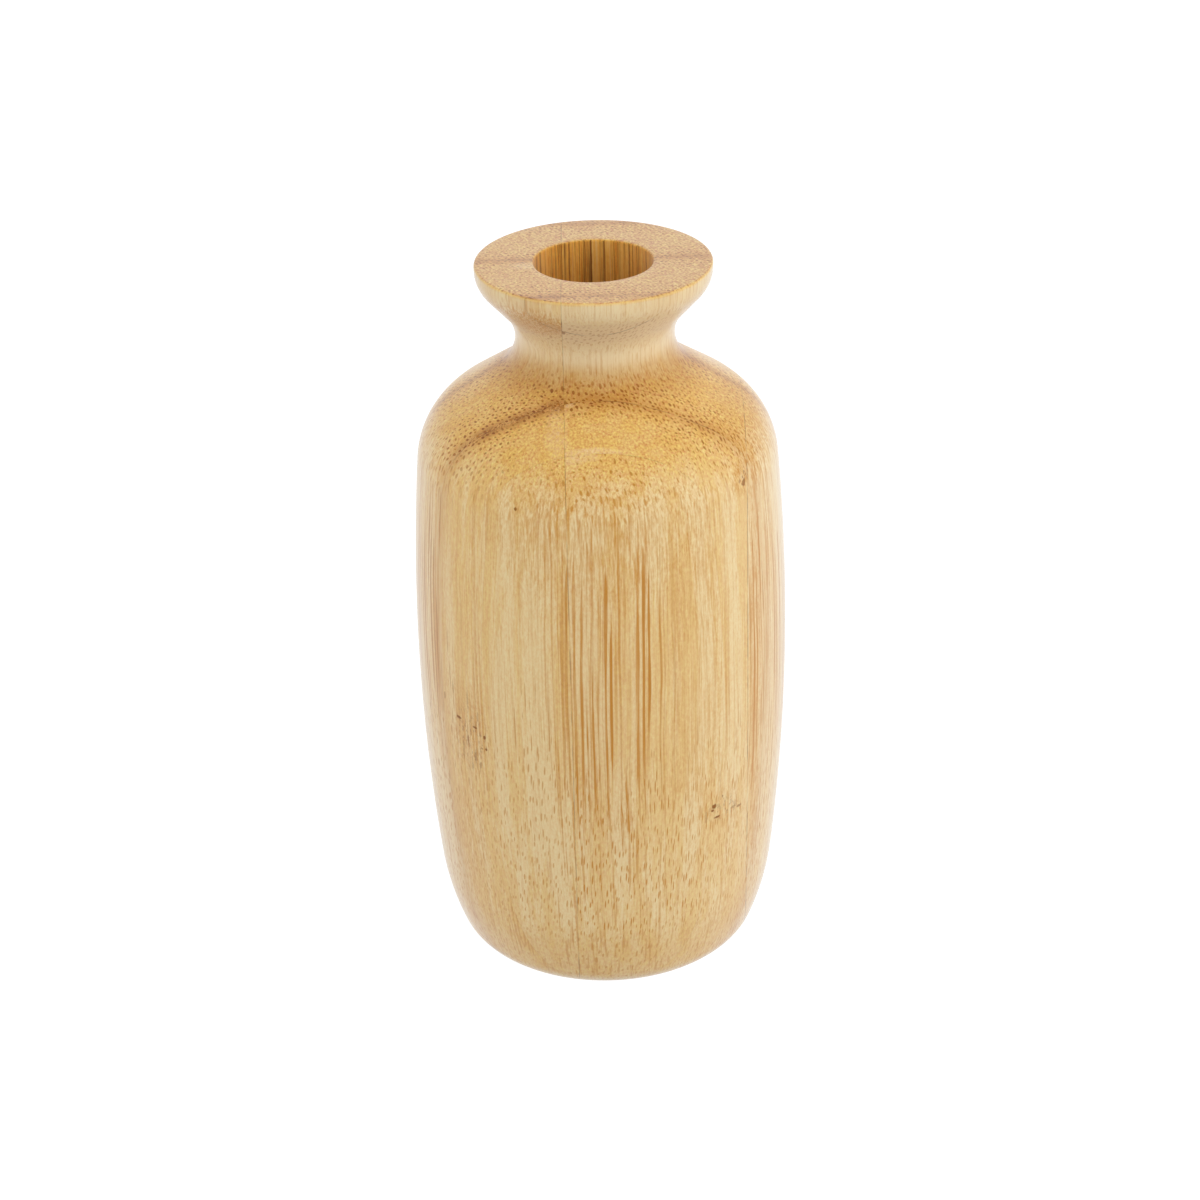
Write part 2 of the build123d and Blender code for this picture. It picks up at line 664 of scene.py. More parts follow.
class Wood:
    """A shaded point of the bamboo: its place in the strip, in millimetres, and in the turned form."""

    sway_reach = 1.6
    ripple_reach = 1.5
    turned_radius = 30.0
    hair_reach = 40.0
    calm_reach = 50.0
    left_lift = 12.0

    def __init__(self, paint: PaintBoard, limits: ZoneLimits) -> None:
        """Adds the dials of a strip and works out where the point lies.

        Args:
            paint: The material's board.
            limits: Where the zones of the vase start and end.
        """
        self.paint = paint
        self.dials = {name: paint.dial(name) for name in CELL_DIALS + GRAIN_DIALS}
        self._set_place()
        self._set_grain()
        self._set_zones(limits)

    def _set_place(self) -> None:
        """Finds the point across and through the strip, with the fibres' slow sway and lean."""
        paint, offset = self.paint, self.dials["offset"]
        corner = paint.add("ShaderNodeTexCoord", {}, {}, "Object")
        scaled = paint.add("ShaderNodeVectorMath", {"operation": "SCALE"}, {0: corner, "Scale": 1 / MM})
        x, y, z = paint.parts(paint.keep("place", scaled))
        paint.keep(MarkPlane.SIDE.value, paint.vector(x, z, 0.0))
        paint.keep(MarkPlane.TOP.value, paint.vector(x, y, 0.0))
        sway = paint.noise(paint.vector(x * 0.05, y * 0.05 + offset, z * 0.022))
        lean = paint.noise(paint.vector(x * 0.05 + offset, y * 0.05, z * 0.018))
        ripple = paint.noise(paint.vector(x * 0.4 + offset, y * 0.4, z * 0.24), 1.0)
        self.x, self.y, self.z = x, y, z
        self.across = x + (sway - 0.5) * self.sway_reach + offset
        self.through = y + (lean - 0.5) * self.sway_reach
        self.rippled = self.through + (ripple - 0.5) * self.ripple_reach
        self.from_axis = (x * x + y * y) ** 0.5
        arc = paint.math("ARCTAN2", y, x) * self.turned_radius
        self.around = arc + (sway - 0.5) * self.sway_reach + offset
        share = (y - self.dials["low y"]) / (self.dials["high y"] - self.dials["low y"])
        self.outer = share * self.dials["facing"] + (1 - share) * (1 - self.dials["facing"])
        normal = paint.add("ShaderNodeTexCoord", {}, {}, "Normal")
        self.upright = paint.parts(normal)[2].size().fade(0.25, 0.85)

    def _set_grain(self) -> None:
        """Adds the noises that several layers share: fine hairs, grit, and calm and streaky stretches."""
        paint, centre, reach = self.paint, self.dials["streak_centre"], self.dials["streak_reach"]
        hair = paint.noise(paint.vector(self.across * 4.2, self.through * 4.2, self.z * 0.07), 3.0, 0.65)
        self.hair = paint.keep("hair", hair)
        grit = paint.noise(paint.vector(self.x * 2.8, self.y * 2.8, self.z * 1.3), 2.0, 0.65)
        self.grit = paint.keep("grit", grit)
        self.calm = paint.noise(paint.vector(self.across * 0.2, self.through * 0.3, self.z * 0.02), 3.0, 0.6)
        self.near = (self.x - centre).size().fade(reach, reach * 0.5)

    def _set_zones(self, limits: ZoneLimits) -> None:
        """Works out which zones of the turned form the point lies in.

        Args:
            limits: Where the zones start and end.
        """
        def height(span: Point) -> Signal:
            """Share of a zone by height."""
            return self.z.fade(*span)

        self.drilled = self.from_axis.fade(*limits.bored) * height(limits.bored_end)
        self.neck = height(limits.neck) * (1 - height(limits.lip) * 0.2) * height(limits.neck_end)
        self.neck = self.neck * (1 - self.drilled)
        self.hollow = height(limits.hollow) * height(limits.hollow_end)
        self.shoulder, self.low = height(limits.shoulder), height(limits.low)
        self.foot, self.flat = height(limits.foot), height(limits.flat)
        self.edge = height(limits.edge) * height(limits.edge_end)
        level = self.z + (self.hair - 0.5) * self.hair_reach + (self.calm - 0.5) * self.calm_reach
        level = level - self.x.fade(*limits.left_rise) * self.left_lift
        self.dashed = level.fade(*limits.dashed) * height(limits.dashed_end)
        self.belly = level.fade(*limits.belly) * height(limits.belly_end)


@dataclass(frozen=True)
class BambooFinish:
    """Oiled bamboo: pale ground tissue, dark fibre bundles along the culm, and thin glue joints."""

    pale: Colour = srgb(238, 211, 157)
    honey: Colour = srgb(230, 190, 118)
    golden: Colour = srgb(222, 170, 76)
    sanded: Colour = srgb(216, 168, 104)
    cove: Colour = srgb(236, 214, 172)
    fibre: Colour = srgb(200, 131, 10)
    dark_fibre: Colour = srgb(132, 66, 0)
    drilled: Colour = srgb(246, 212, 138)
    bored_dark: Colour = srgb(96, 50, 8)
    # painted shade for the cove under the flare, where the rim keeps light off
    shade: Colour = srgb(222, 204, 178)
    # painted highlight on the eased edges of the rim and the mouth
    painted_edge_highlight: Colour = srgb(240, 204, 130)
    glue: Colour = srgb(112, 60, 8)
    dust: Colour = srgb(240, 212, 164)
    scar: Colour = srgb(142, 84, 0)
    roughness: float = 0.46
    specular: float = 0.1
    sheen: float = 0.35
    coat: float = 1.0
    coat_roughness: float = 0.2
    coat_ior: float = 1.25
    bump_strength: float = 0.2
    bump_depth: float = 0.05 * MM
    joint_half_width: float = 0.06
    side_joint: float = 0.6
    dense_joint: float = 0.6
    pale_joint: float = 0.25
    dot_pitch: Point = (0.84, 0.78)
    line_pitch: Point = (0.95, 3.0)
    dash_pitch: Point = (0.56, 0.62)
    dash_lean: float = 0.003
    lean_from: float = 50.0
    bundle_radius: float = 0.155
    line_radius: float = 0.18
    dash_radius: float = 0.085
    dash_disorder: float = 0.85
    seed_step: float = 37.0
    bore_streaks: tuple[Point, ...] = ((-3.85, 0.75), (-0.3, 0.75), (1.15, 0.4), (4.2, 0.35), (5.75, 0.55))

    def pattern(self) -> PaintBoard:
        """Makes the finish once, with a dial for each number that differs from strip to strip.

        Returns:
            The board with the whole finish but for marks.
        """
        wood = Wood(PaintBoard("bamboo"), ZoneLimits())
        paint, dials = wood.paint, wood.dials
        bundle, strength = self._bundles(wood)
        bundle = bundle * (1 - wood.neck * 0.58) * (1 - (1 - wood.upright) * wood.shoulder * 0.5)
        upright = wood.upright * (wood.outer * 0.35 + 0.45 - wood.low * 0.3)
        darkness = strength * (upright + dials["darkness"] * (1 - wood.low * 0.7) * 0.3)
        colour = paint.layered(
            self._ground(wood),
            (wood.neck * (1 - 0.6 * dials["warmth"]), self.cove),
            (wood.neck * wood.hair.fade(0.54, 0.66) * 0.25, self.fibre),
            (bundle * dials["bundles"] * 0.9, self.fibre),
            (bundle * darkness, self.dark_fibre),
        )
        joint = self._joint_mask(wood) * (wood.neck * 0.6 + 1)
        colour = paint.keep("colour", paint.mix(joint, self._turned_tints(wood, colour), self.glue))
        matt = paint.keep("matt", (wood.drilled * 0.8).at_least(wood.upright * 0.35))
        self._dress(paint, colour, matt)
        relief = wood.hair * 0.5 - bundle * 0.4 - joint * 0.25
        bump = {"Strength": self.bump_strength, "Distance": self.bump_depth, "Height": relief}
        paint.feed_shader({
            "Roughness": bundle * 0.06 + wood.hair * 0.1 + (self.roughness - 0.05),
            "Specular IOR Level": self.specular, "Sheen Weight": self.sheen,
            "Coat Roughness": self.coat_roughness, "Coat IOR": self.coat_ior,
            "Normal": paint.add("ShaderNodeBump", {}, bump),
        })
        return paint

    def material(self, pattern: PaintBoard, cell: StripCell, grain: StripGrain) -> bpy.types.Material:
        """Makes the finish of one strip from the pattern.

        Args:
            pattern: The board that pattern() made.
            cell: The strip's span in the block.
            grain: How its grain differs from the others.

        Returns:
            The material.
        """
        paint = pattern.copied(f"bamboo_{cell.node}")
        front_dense = grain.dense_side is CulmSide.FRONT
        front_joint = self.dense_joint if front_dense else self.pale_joint
        back_joint = self.pale_joint if front_dense else self.dense_joint
        planes = (cell.low.x / MM, cell.high.x / MM, cell.low.y / MM, cell.high.y / MM)
        offset = self.seed_step * grain.seed
        values = (offset, *planes, front_joint, back_joint, 0.0 if front_dense else 1.0)
        numbers = dict(zip(CELL_DIALS, values)) | {name: getattr(grain, name) for name in GRAIN_DIALS}
        for name, value in numbers.items():
            paint.turn(name, value)
        if grain.marks:
            self._add_marks(paint, grain.marks)
        return paint.material

    def _dress(self, paint: PaintBoard, colour: Signal, matt: Signal) -> None:
        """Feeds the shader's colour and the coat, which is thin where the wood is matt."""
        paint.feed_shader({"Base Color": colour, "Coat Weight": (1 - matt) * self.coat})

    def _add_marks(self, paint: PaintBoard, marks: tuple[Mark, ...]) -> None:
        """Lays a strip's marks over its colour.

        Args:
            paint: The strip's board.
            marks: The marks.
        """
        place, colour, matt = paint.recall("place"), paint.recall("colour"), paint.recall("matt")
        frayed = (paint.recall("grit") - 0.5) * 1.8
        hairy = paint.recall("hair").fade(0.38, 0.62)
        powder = paint.noise(place, 4.0, 0.8, scale=2.4).fade(0.42, 0.62) * 0.85 + 0.15
        torn = paint.noise(paint.vector_math("MULTIPLY", place, (2.2, 2.2, 0.9)), 3.0, 0.7).fade(0.52, 0.62)
        looks = {
            MarkTone.SCAR: (self.scar, (1.2, 0.3), 1.0),
            MarkTone.STAIN: (self.fibre, (1.5, 0.0), hairy),
            MarkTone.TORN: (self.dark_fibre, (1.5, 0.0), torn),
            MarkTone.DUST: (self.dust, (1.6, -0.4), powder),
        }
        for mark in marks:
            tint, reach, texture = looks[mark.tone]
            spread = paint.vector_math("SUBTRACT", paint.recall(mark.plane.value), (mark.x, mark.level, 0.0))
            spread = paint.vector_math("MULTIPLY", spread, (2 / mark.width, 2 / mark.height, 0.0))
            away = paint.vector_math("DOT_PRODUCT", spread, spread, "Value") + frayed
            mask = away.fade(*reach) * texture * mark.strength
            if mark.tone is MarkTone.SCAR:
                matt = matt.at_least(mask)
            colour = paint.mix(mask, colour, tint)
        self._dress(paint, colour, matt)

    def _ground(self, wood: Wood) -> Signal:
        """The ground tissue between the bundles: pale and honey drifts with ragged, hairy edges.

        Args:
            wood: The shaded point.

        Returns:
            The colour.
        """
        paint, dials = wood.paint, wood.dials
        slow = paint.vector(wood.across * 0.28, wood.through * 0.34, wood.z * 0.018)
        drift = paint.noise(slow, 3.0, 0.6) + (wood.hair - 0.5) * 0.4
        share = drift.fade(0.4, 0.6) * 0.7 + dials["warmth"] * 0.5 - 0.15 - wood.low * 0.08
        turned = wood.upright.at_least(wood.foot * 0.8)
        line = paint.noise(paint.vector(wood.around * 2.4, wood.from_axis * 0.6, wood.z * 0.02), 1.0)
        drawn = line.fade(0.55, 0.66) * (1 - wood.upright) * dials["streaks"] * (wood.near * 0.7 + 0.3)
        ragged = (wood.grit + (drift - 0.5) * 0.5).fade(0.38, 0.6)
        crowd = wood.outer.fade(0.78, 1.0) * ragged * (wood.upright * 0.85 + 0.15) * dials["darkness"]
        ground = paint.layered(
            paint.mix(share, self.pale, self.honey),
            (wood.hair.fade(0.48, 0.72) * dials["streaks"] * 0.26, self.fibre),
            (turned * (0.7 - wood.low * 0.1), self.golden),
            (drawn * 0.55, self.fibre),
            (wood.flat * 0.7, self.sanded),
            (wood.outer.fade(0.6, 1.0) * 0.22, self.fibre),
            (crowd * 0.85, self.dark_fibre),
        )
        grit = (wood.grit - 0.5) * (wood.upright * 1.2 + 0.8 + wood.flat * 0.9) + 0.5
        return paint.mix(0.5, ground, grit, "OVERLAY")

    def _turned_tints(self, wood: Wood, colour: Signal) -> Signal:
        """The drilled bore's own colour and streaks, a painted highlight on the eased edges of the rim and
        painted shade in the cove under the flare.

        Args:
            wood: The shaded point.
            colour: The wood's own colour.

        Returns:
            The colour with the zones' tints.
        """
        paint = wood.paint
        # Painted highlight: the eased edges of the rim and the mouth are made lighter.
        colour = paint.mix(wood.edge * 0.45, colour, self.painted_edge_highlight)
        # Painted shade: the cove under the flare is made darker.
        colour = paint.mix(wood.hollow * 0.9, colour, paint.mix(1.0, colour, self.shade, "MULTIPLY"))
        streak = paint.noise(paint.vector(wood.x * 2.3, wood.y * 2.3, wood.z * 0.03), 3.0, 0.7)
        worn = wood.hair.fade(0.3, 0.55) * 0.5 + wood.grit * 0.8
        bored = paint.layered(
            paint.mix(1.0, colour, self.drilled, "MULTIPLY"),
            (streak.fade(0.5, 0.64) * 0.7, self.bored_dark),
            (streak.fade(0.46, 0.34) * 0.6, self.honey),
        )
        for spot, amount in self.bore_streaks:
            line = (wood.x - spot + (wood.grit - 0.5) * 0.2).size().fade(0.18, 0.04) * wood.y.fade(0.0, 1.0)
            bored = paint.mix(line * worn * amount, bored, self.bored_dark)
        return paint.mix(wood.drilled, colour, bored)

    def _bundles(self, wood: Wood) -> tuple[Signal, Signal]:
        """Fibre bundles: dots and short dashes where the turned skin cuts them, long lines on the belly.

        Args:
            wood: The shaded point.

        Returns:
            The bundles' mask and how dark each of them is.
        """
        dials = wood.dials
        wander = wood.paint.vector(wood.across * 0.9, wood.through * 0.9, wood.z * 0.07)
        along = wood.paint.noise(wander)
        across, rippled = wood.across / dials["spacing"], wood.rippled / dials["spacing"]
        thin = dials["spacing"] ** -0.7 * self.bundle_radius * (wood.outer * 0.45 + 0.78)
        dots = self._lattice(across, rippled, self.dot_pitch, thin, along)
        swollen = (along * 1.8 + 0.1) * self.line_radius
        lines = self._lattice(wood.around, wood.from_axis, self.line_pitch, swollen, along)
        lean = (wood.z.at_most(self.lean_from) - self.lean_from) * self.dash_lean
        fanned = wood.through * 0.7 + wood.rippled * 0.3 + wood.y * lean
        dashes = self._lattice(wood.across + wood.x * lean, fanned, self.dash_pitch, self.dash_radius, along,
                               self.dash_disorder)
        drawn = lines[1].fade(0.25, 0.55) * (wood.calm.fade(0.38, 0.54) * 0.8 + 0.2)
        drawn = drawn * (wood.near * 0.85 + 0.15)
        reach = dials["quiet_reach"]
        quiet = (wood.x - dials["quiet_centre"]).size().fade(reach, reach * 0.5)
        seen = (1 - quiet * wood.outer.fade(0.9, 0.6) * 0.75) * (wood.outer * 0.45 + 0.55)
        mask = dots[0] * seen * (1 - wood.belly * 0.9) * (1 - wood.dashed)
        mask = mask + dashes[0] * wood.dashed + lines[0] * drawn * dials["streaks"] * wood.belly
        return mask.at_most(1.0), dots[1] * (1 - wood.dashed) + dashes[1] * wood.dashed

    @staticmethod
    def _lattice(across: Signal, through: Signal, pitch: Point, radius: Signal | float, along: Signal,
                 disorder: float = 0.5) -> tuple[Signal, Signal]:
        """Staggered rows of bundles, each of its own size and darkness.

        Args:
            across: Place along a row.
            through: Place from row to row.
            pitch: Distance between bundles in a row and between rows, in millimetres.
            radius: Radius of a bundle.
            along: Slow noise that swells and thins a bundle on its way up.
            disorder: How far bundles stray from their rows.

        Returns:
            The bundles' mask and how dark each of them is.
        """
        board = across.board
        row = through * (1 / pitch[1])
        spot = board.vector(across * (1 / pitch[0]) + row * 0.5, row, 0.0)
        settings = {"voronoi_dimensions": "2D", "feature": "F1"}
        sockets = {"Vector": spot, "Scale": 1.0, "Randomness": disorder}
        away = board.add("ShaderNodeTexVoronoi", settings, sockets, "Distance")
        own = Signal(board, away.socket.node.outputs["Color"])
        chance = board.add("ShaderNodeSeparateColor", {}, {0: own})
        reach = (chance - 0.5) * 0.08 + (along - 0.5) * 0.2 + radius * (1 / pitch[0])
        return away.fade(reach + 0.06, reach - 0.05), chance * 0.6 + along * 0.4 + 0.15

    def _joint_mask(self, wood: Wood) -> Signal:
        """Thin lines of glue where the strip meets its neighbours, darkest between two dense faces.

        Args:
            wood: The shaded point.

        Returns:
            How strongly the lines show.
        """
        dials = wood.dials
        planes = (
            (wood.x, dials["low x"], self.side_joint), (wood.x, dials["high x"], self.side_joint),
            (wood.y, dials["low y"], dials["front joint"]), (wood.y, dials["high y"], dials["back joint"]),
        )
        wide, narrow = self.joint_half_width * 1.7, self.joint_half_width * 0.5
        lines = [(value - plane).size().fade(wide, narrow) * tone for value, plane, tone in planes]
        broken = wood.paint.noise(wood.paint.vector(wood.x * 0.35, wood.y * 0.35, wood.z * 0.2), 3.0)
        laid = lines[2].at_least(lines[3]) * (wood.upright * 0.75 + 0.25)
        joined = lines[0].at_least(lines[1]).at_least(laid)
        return joined * (broken.fade(0.36, 0.62) * 0.85 + 0.15)


@dataclass
class GluedBlock:
    """The vase's strips, cut from one turned form along the block's glue joints."""

    outline: TurnedOutline
    finish: BambooFinish
    margin: float = 4.0 * MM
    turn_steps: int = 360
    grains: dict[str, StripGrain] = field(default_factory=dict)

    def joints(self) -> tuple[list[float], list[float]]:
        """The planes of the glue joints, read from the strip that lies between all four of its own.

        Returns:
            The x planes and the y planes.
        """
        low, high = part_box("middle_front_strip_1")
        thickness = high.y - low.y
        reach = ceil(self.outline.belly_radius / thickness) + 1
        return [low.x, high.x], [low.y + i * thickness for i in range(-reach, reach + 1)]

    def cell(self, node: str) -> StripCell:
        """The span of the block that a strip fills.

        Args:
            node: The CAD node's name.

        Returns:
            The span, open past the turned skin where the strip has no neighbour.
        """
        low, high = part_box(node)
        planes_x, planes_y = self.joints()
        limit = self.outline.belly_radius + self.margin
        middle = (low + high) / 2
        below_x = max([p for p in planes_x if p < middle.x], default=-limit)
        above_x = min([p for p in planes_x if p > middle.x], default=limit)
        below_y = max(p for p in planes_y if p < middle.y)
        above_y = min(p for p in planes_y if p > middle.y)
        throat = self.outline.cove_centre[1]
        bottom = throat if low.z > throat else -self.margin
        top = throat if high.z < throat else self.outline.height + self.margin
        return StripCell(node, Vector((below_x, below_y, bottom)), Vector((above_x, above_y, top)))

    def outline_object(self) -> bpy.types.Object:
        """The half section as a mesh of edges, which the tree reads.

        Returns:
            The object, not linked to the scene.
        """
        places = [(radius, 0.0, height) for radius, height in self.outline.points()]
        mesh = bpy.data.meshes.new("outline")
        mesh.from_pydata(places, [(i, i + 1) for i in range(len(places) - 1)], [])
        return bpy.data.objects.new("outline", mesh)

    def build(self) -> list[bpy.types.Object]:
        """Makes every strip and lets it stand for its CAD node.

        Returns:
            The pieces.
        """
        source = self.outline_object()
        tree = TurnedStripTree(len(source.data.vertices))
        pattern = self.finish.pattern()
        pieces = [self._strip(source, tree, pattern, node) for node in sorted(frame["nodes"])]
        bpy.data.meshes.remove(source.data)
        bpy.data.materials.remove(pattern.material)
        return pieces

    def _strip(self, source: bpy.types.Object, tree: TurnedStripTree, pattern: PaintBoard,
               node: str) -> bpy.types.Object:
        """Cuts one strip and dresses it.

        Args:
            source: The outline.
            tree: The Geometry Nodes that turn and cut.
            pattern: The finish that every strip's own is copied from.
            node: The CAD node that the strip stands for.

        Returns:
            The piece.
        """
        cell = self.cell(node)
        grain = self.grains[node]
        shape = source.copy()
        shape.data = source.data.copy()
        bpy.context.scene.collection.objects.link(shape)
        modifier = shape.modifiers.new("turned strip", "NODES")
        modifier.node_group = tree.tree
        values = {
            "Turn Steps": self.turn_steps,
            "Strip Centre": tuple((cell.low + cell.high) / 2),
            "Strip Size": tuple(cell.high - cell.low),
            "Finish": self.finish.material(pattern, cell, grain),
        }
        for name, value in values.items():
            modifier[tree.modifier_key(name)] = value
        graph = bpy.context.evaluated_depsgraph_get()
        mesh = bpy.data.meshes.new_from_object(shape.evaluated_get(graph))
        mesh.name = f"turned_{node}"
        bpy.data.objects.remove(shape)
        piece = bpy.data.objects.new(f"turned_{node}", mesh)
        bpy.context.scene.collection.objects.link(piece)
        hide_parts(node)
        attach(piece, ROOT_BODY)
        return piece


@dataclass(frozen=True)
class PhotoCamera:
    """The photograph's view of the vase."""

    aim_height: float
    distance: float = 508.3 * MM
    elevation: float = radians(26.906)
    roll: float = radians(-1.319)
    focal_px: float = 3037.0
    frame_px: float = 1200.0
    centre_x_px: float = 601.16
    centre_y_px: float = 603.7
    sensor_mm: float = 36.0
    clip_start: float = 0.01

    def build(self) -> bpy.types.Object:
        """Makes the camera and gives it to the scene.

        Returns:
            The camera.
        """
        away = Vector((0.0, -cos(self.elevation), sin(self.elevation)))
        right = Vector((1.0, 0.0, 0.0))
        up = away.cross(right)
        turned_right = right * cos(self.roll) + up * sin(self.roll)
        turned_up = up * cos(self.roll) - right * sin(self.roll)
        lens = bpy.data.cameras.new("photo_camera")
        lens.sensor_width = self.sensor_mm
        lens.lens = self.focal_px / self.frame_px * self.sensor_mm
        lens.shift_x = (self.frame_px / 2 - self.centre_x_px) / self.frame_px
        lens.shift_y = (self.centre_y_px - self.frame_px / 2) / self.frame_px
        lens.clip_start = self.clip_start
        camera = bpy.data.objects.new("photo_camera", lens)
        axes = Matrix((turned_right, turned_up, away)).transposed().to_4x4()
        axes.translation = Vector((0, 0, self.aim_height)) + away * self.distance
        camera.matrix_world = axes
        bpy.context.scene.collection.objects.link(camera)
        bpy.context.scene.camera = camera
        return camera


@dataclass(frozen=True)
class Softbox:
    """A square studio light that looks at the vase and leaves no glint of its own."""

    name: str
    place: tuple[float, float, float]
    size: float
    power: float
    colour: Colour = (1.0, 1.0, 1.0)

    def build(self, target: Vector) -> None:
        """Hangs the light.

        Args:
            target: What it looks at.
        """
        lamp = bpy.data.lights.new(self.name, "AREA")
        lamp.shape = "SQUARE"
        lamp.size = self.size
        lamp.energy = self.power
        lamp.color = self.colour
        holder = bpy.data.objects.new(self.name, lamp)
        holder.location = self.place
        holder.visible_glossy = False
        holder.rotation_euler = (target - Vector(self.place)).to_track_quat("-Z", "Y").to_euler()
        bpy.context.scene.collection.objects.link(holder)


@dataclass(frozen=True)
class Studio:
    """White ground, white surroundings and soft lights."""

    softboxes: tuple[Softbox, ...]
    floor_size: float = 6.0
    floor_grey: float = 0.12
    floor_roughness: float = 0.9
    light_above: float = 0.62
    light_below: float = 0.47
    backdrop: float = 1.0
    sheen: float = 0.92

    def build(self, target: Vector) -> None:
        """Makes the studio.

        Args:
            target: What the lights look at.
        """
        bpy.context.scene.view_settings.view_transform = "Standard"
        self._surroundings()
        for box in self.softboxes:
            box.build(target)
        half = self.floor_size / 2
        mesh = bpy.data.meshes.new("floor")
        corners = [(-half, -half, 0), (half, -half, 0), (half, half, 0), (-half, half, 0)]
        mesh.from_pydata(corners, [], [(0, 1, 2, 3)])
        paint = PaintBoard("white_ground")
        paint.feed_shader({
            "Base Color": (self.floor_grey,) * 3, "Roughness": self.floor_roughness,
            "Emission Color": (1.0, 1.0, 1.0), "Emission Strength": self.backdrop,
        })
        mesh.materials.append(paint.material)
        ground = bpy.data.objects.new("floor", mesh)
        bpy.context.scene.collection.objects.link(ground)
        ground.visible_diffuse = False
        ground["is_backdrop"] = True

    def _surroundings(self) -> None:
        """White walls for the eye and for gloss, which light the vase more from above than from below."""
        world = bpy.data.worlds.new("white_surroundings")
        world.use_nodes = True
        board = NodeBoard(world.node_tree)
        height = board.parts(board.add("ShaderNodeTexCoord", {}, {}, "Generated"))[2]
        levels = {"From Min": -1.0, "From Max": 1.0, "To Min": self.light_below, "To Max": self.light_above}
        soft = board.add("ShaderNodeMapRange", {}, {"Value": height, **levels}, "Result")
        seen = self._pick(board, "Is Camera Ray", self.sheen, self.backdrop)
        background = world.node_tree.nodes["Background"]
        board.feed(background.inputs["Color"], (1.0, 1.0, 1.0))
        board.feed(background.inputs["Strength"], self._pick(board, "Is Diffuse Ray", seen, soft))
        bpy.context.scene.world = world

    @staticmethod
    def _pick(board: NodeBoard, ray: str, otherwise: Signal | float, matching: Signal | float) -> Signal:
        """Chooses a brightness by the kind of ray.

        Args:
            board: The surroundings' board.
            ray: The kind of ray.
            otherwise: Brightness for other rays.
            matching: Brightness for the kind of ray.

        Returns:
            The chosen brightness.
        """
        asked = board.add("ShaderNodeLightPath", {}, {}, ray)
        levels = {"To Min": otherwise, "To Max": matching}
        return board.add("ShaderNodeMapRange", {}, {"Value": asked, **levels}, "Result")


def strip_grains() -> dict[str, StripGrain]:
    """How the grain of each strip differs, as the photograph shows it where it can be seen.

    Returns:
        The grains by the strips' names.
    """
    front, back = CulmSide.FRONT, CulmSide.BACK
    dense = {"front_strip_1": back, "front_strip_2": front, "front_strip_3": back, "front_strip_4": front,
             "back_strip_1": front, "back_strip_2": back, "back_strip_3": front, "back_strip_4": back}
    warmth = {"left": 0.8, "middle": 0.45, "right": 0.3}
    own = {
        "warmth": {"left_front_strip_3": 1.0, "left_front_strip_4": 0.6},
        "darkness": {"left_front_strip_2": 1.1, "left_front_strip_3": 0.9, "middle_front_strip_2": 0.32,
                     "middle_front_strip_3": 0.3},
        "bundles": {"middle_front_strip_3": 0.85, "left_front_strip_3": 0.5, "left_front_strip_4": 0.7},
    }
    spacing = {"front_strip_4": 1.15, "back_strip_4": 1.35, "back_strip_3": 1.15}
    quiet = {"middle_front_strip_3": (1.0, 12.0), "left_front_strip_3": (-8.0, 6.0)}
    streaks = {"left_front_strip_4": (-5.0, 6.0), "middle_front_strip_4": (1.5, 12.0),
               "middle_front_strip_3": (0.0, 24.0), "left_front_strip_3": (0.0, 26.0)}
    marks = visible_marks()
    column_seed, order_seed = 1.7, 0.61
    grains = {}
    for row, side in dense.items():
        for place, column in enumerate(("left", "middle", "right")):
            name = f"{column}_{row}"
            numbers = {key: table[name] for key, table in own.items() if name in table}
            if name in streaks:
                numbers["streak_centre"], numbers["streak_reach"] = streaks[name]
            if name in quiet:
                numbers["quiet_centre"], numbers["quiet_reach"] = quiet[name]
            numbers = {"warmth": warmth[column], "spacing": spacing.get(row, 1.0)} | numbers
            seed = column_seed * place + order_seed * (len(grains) + 1)
            grains[name] = StripGrain(seed, side, marks=marks.get(name, ()), **numbers)
            grains[f"rim_{name}"] = replace(grains[name], marks=marks.get(f"rim_{name}", ()))
    return grains


